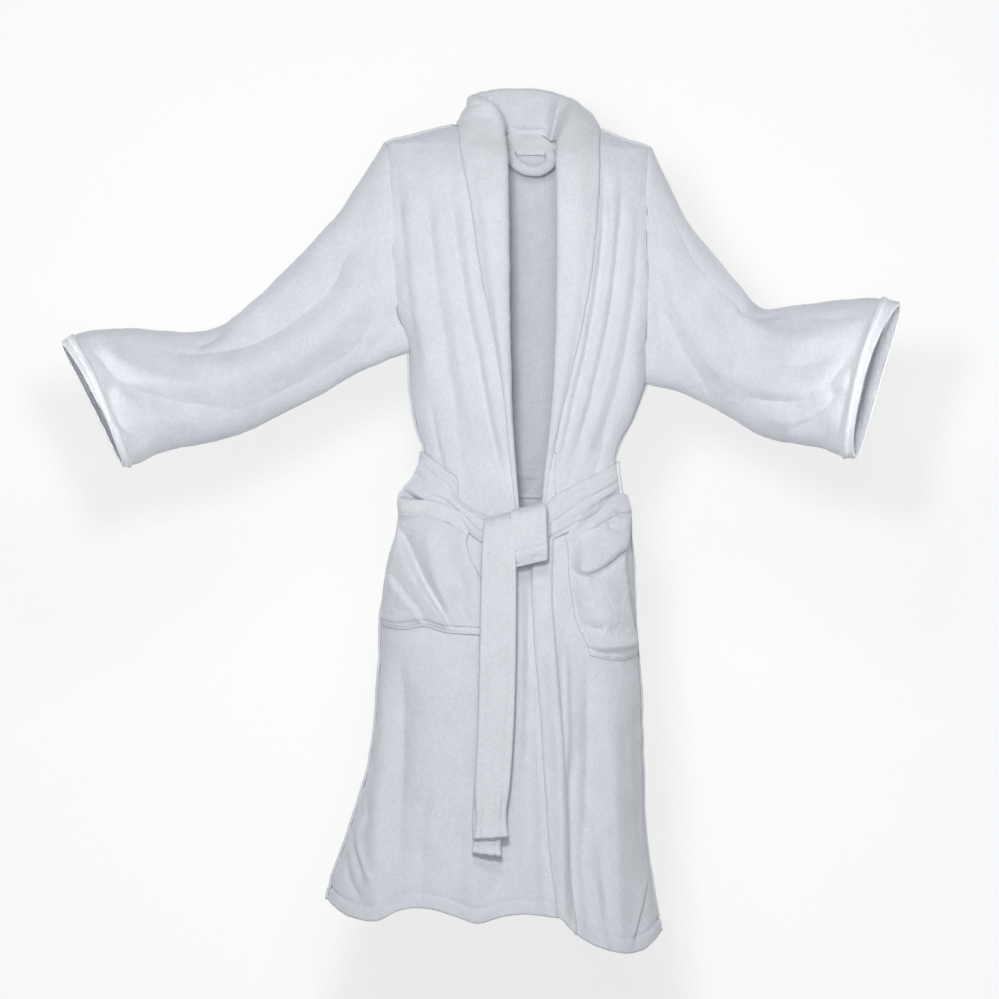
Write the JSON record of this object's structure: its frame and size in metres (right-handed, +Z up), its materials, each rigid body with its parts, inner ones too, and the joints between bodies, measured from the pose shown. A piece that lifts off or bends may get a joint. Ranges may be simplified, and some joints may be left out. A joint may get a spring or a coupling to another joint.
{
  "type": "bathrobe",
  "caption": "Plush bathrobe with a shawl collar, patch pockets and a knotted belt, hanging from its loop with both sleeves held out.",
  "frame": {"origin": "midway between the sewn ends of the hanger loop, on the inside of the back neck", "axes": "+Z up, the robe faces -Y, +X towards the wearer's left"},
  "size_m": [1.3158, 0.275, 1.3431],
  "materials": {
    "plush_panel": "matte",
    "plush_collar": "matte",
    "plush_trim": "matte",
    "belt_cloth": "matte"
  },
  "bodies": {
    "robe": {"back_panel": "plush_panel", "front_panel_right": "plush_panel", "front_panel_left": "plush_panel", "collar_neck": "plush_collar", "lapel_right": "plush_collar", "lapel_left": "plush_collar", "front_band_right": "plush_trim", "front_band_left": "plush_trim", "neck_facing": "plush_trim", "belt_waist": "belt_cloth", "belt_knot": "belt_cloth", "belt_loop_right": "belt_cloth", "belt_loop_left": "belt_cloth", "pocket_right": "plush_panel", "pocket_left": "plush_panel", "pocket_band_right": "plush_trim", "pocket_band_left": "plush_trim"},
    "sleeve_right": {"sleeve_right": "plush_panel", "cuff_right": "plush_trim"},
    "sleeve_left": {"sleeve_left": "plush_panel", "cuff_left": "plush_trim"},
    "tail_front": {"belt_tail_front": "belt_cloth"},
    "tail_back": {"belt_tail_back": "belt_cloth"},
    "loop": {"hanger_loop": "plush_trim"}
  },
  "joints": [
    {"name": "sleeve_right_swing", "type": "hinge", "parent": "robe", "child": "sleeve_right", "pos_m": [-0.204, -0.06, -0.15], "axis": [0, 1, 0], "range_deg": [-18, 18]},
    {"name": "sleeve_left_swing", "type": "hinge", "parent": "robe", "child": "sleeve_left", "pos_m": [0.18, -0.06, -0.176], "axis": [0, -1, 0], "range_deg": [-18, 18]},
    {"name": "tail_front_swing", "type": "hinge", "parent": "robe", "child": "tail_front", "pos_m": [-0.053, -0.205, -0.618], "axis": [0, 1, 0], "range_deg": [-12, 12]},
    {"name": "tail_back_swing", "type": "hinge", "parent": "robe", "child": "tail_back", "pos_m": [-0.058, -0.192, -0.618], "axis": [0, 1, 0], "range_deg": [-12, 12]},
    {"name": "hanger_loop_flip", "type": "hinge", "parent": "robe", "child": "loop", "pos_m": [0, -0.014, 0], "axis": [1, 0, 0], "range_deg": [-120, 0]}
  ]
}
